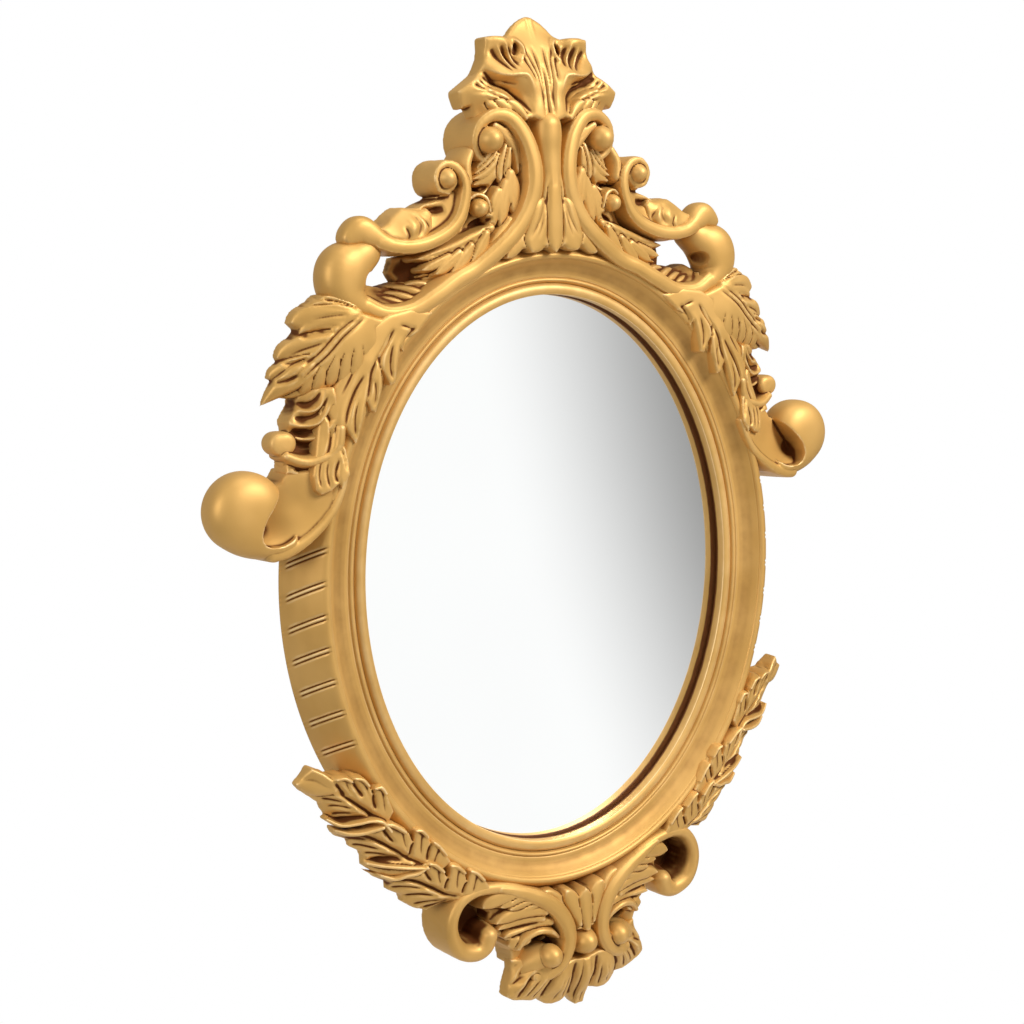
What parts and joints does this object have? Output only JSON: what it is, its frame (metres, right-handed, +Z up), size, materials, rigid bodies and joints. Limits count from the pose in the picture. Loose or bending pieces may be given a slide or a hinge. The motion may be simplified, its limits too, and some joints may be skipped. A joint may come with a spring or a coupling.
{
  "type": "oval wall mirror with a carved ornamental frame",
  "caption": "Oval wall mirror in a gilded frame carved with scrolls, leaves and a crest; turn buttons hold the back board and D rings hang it on a wall.",
  "frame": {"origin": "centre of the oval glass opening, on the wall plane that the rim rests on", "axes": "+Z up, the glass faces -Y, +Y into the wall, +X to the right as seen from the front"},
  "size_m": [0.5678, 0.0518, 0.7656],
  "materials": {
    "gilding": "cast resin painted a satin antique gold, darker and redder in the hollows",
    "mirror": "silvered float glass",
    "board": "plain brown hardboard",
    "steel": "zinc-plated sheet and wire"
  },
  "bodies": {
    "mirror": {"oval_frame": "gilding", "mirror_glass": "mirror", "backing_board": "board", "turn_button_screws": "steel", "hanger_strap_right": "steel", "hanger_strap_left": "steel", "hanger_screws": "steel", "crest_palmette": "gilding", "crest_column": "gilding", "crest_scroll_right": "gilding", "crest_scroll_left": "gilding", "crest_spray_right": "gilding", "crest_spray_left": "gilding", "outer_scroll_right": "gilding", "outer_scroll_left": "gilding", "outer_leaf_right": "gilding", "outer_leaf_left": "gilding", "shoulder_leaf_right": "gilding", "shoulder_leaf_left": "gilding", "flank_leaf_right": "gilding", "flank_leaf_left": "gilding", "side_curl_right": "gilding", "side_curl_left": "gilding", "side_scroll_right": "gilding", "side_scroll_left": "gilding", "garland_upper_right": "gilding", "garland_upper_left": "gilding", "garland_middle_right": "gilding", "garland_middle_left": "gilding", "garland_lower_right": "gilding", "garland_lower_left": "gilding", "base_scroll_right": "gilding", "base_scroll_left": "gilding", "base_inner_scroll_right": "gilding", "base_inner_scroll_left": "gilding", "base_spray_right": "gilding", "base_spray_left": "gilding", "base_fan": "gilding", "base_ball": "gilding", "base_palmette": "gilding"},
    "turn_button_1": {"turn_button_1": "steel"},
    "turn_button_2": {"turn_button_2": "steel"},
    "turn_button_3": {"turn_button_3": "steel"},
    "turn_button_4": {"turn_button_4": "steel"},
    "turn_button_5": {"turn_button_5": "steel"},
    "turn_button_6": {"turn_button_6": "steel"},
    "hanger_ring_right": {"hanger_ring_right": "steel"},
    "hanger_ring_left": {"hanger_ring_left": "steel"}
  },
  "joints": [
    {"name": "turn_button_1_turn", "type": "hinge", "parent": "mirror", "child": "turn_button_1", "pos_m": [0.184, -0.0096, 0], "axis": [0, 1, 0], "range_deg": [0, 90]},
    {"name": "turn_button_2_turn", "type": "hinge", "parent": "mirror", "child": "turn_button_2", "pos_m": [0.092, -0.0096, 0.19832], "axis": [0, 1, 0], "range_deg": [0, 90]},
    {"name": "turn_button_3_turn", "type": "hinge", "parent": "mirror", "child": "turn_button_3", "pos_m": [-0.092, -0.0096, 0.19832], "axis": [0, 1, 0], "range_deg": [0, 90]},
    {"name": "turn_button_4_turn", "type": "hinge", "parent": "mirror", "child": "turn_button_4", "pos_m": [-0.184, -0.0096, 0], "axis": [0, 1, 0], "range_deg": [0, 90]},
    {"name": "turn_button_5_turn", "type": "hinge", "parent": "mirror", "child": "turn_button_5", "pos_m": [-0.092, -0.0096, -0.19832], "axis": [0, 1, 0], "range_deg": [0, 90]},
    {"name": "turn_button_6_turn", "type": "hinge", "parent": "mirror", "child": "turn_button_6", "pos_m": [0.092, -0.0096, -0.19832], "axis": [0, 1, 0], "range_deg": [0, 90]},
    {"name": "hanger_ring_right_swing", "type": "hinge", "parent": "mirror", "child": "hanger_ring_right", "pos_m": [0.16303, -0.0068, 0.11407], "axis": [1, 0, 0], "range_deg": [0, 180]},
    {"name": "hanger_ring_left_swing", "type": "hinge", "parent": "mirror", "child": "hanger_ring_left", "pos_m": [-0.16303, -0.0068, 0.11407], "axis": [1, 0, 0], "range_deg": [0, 180]}
  ]
}
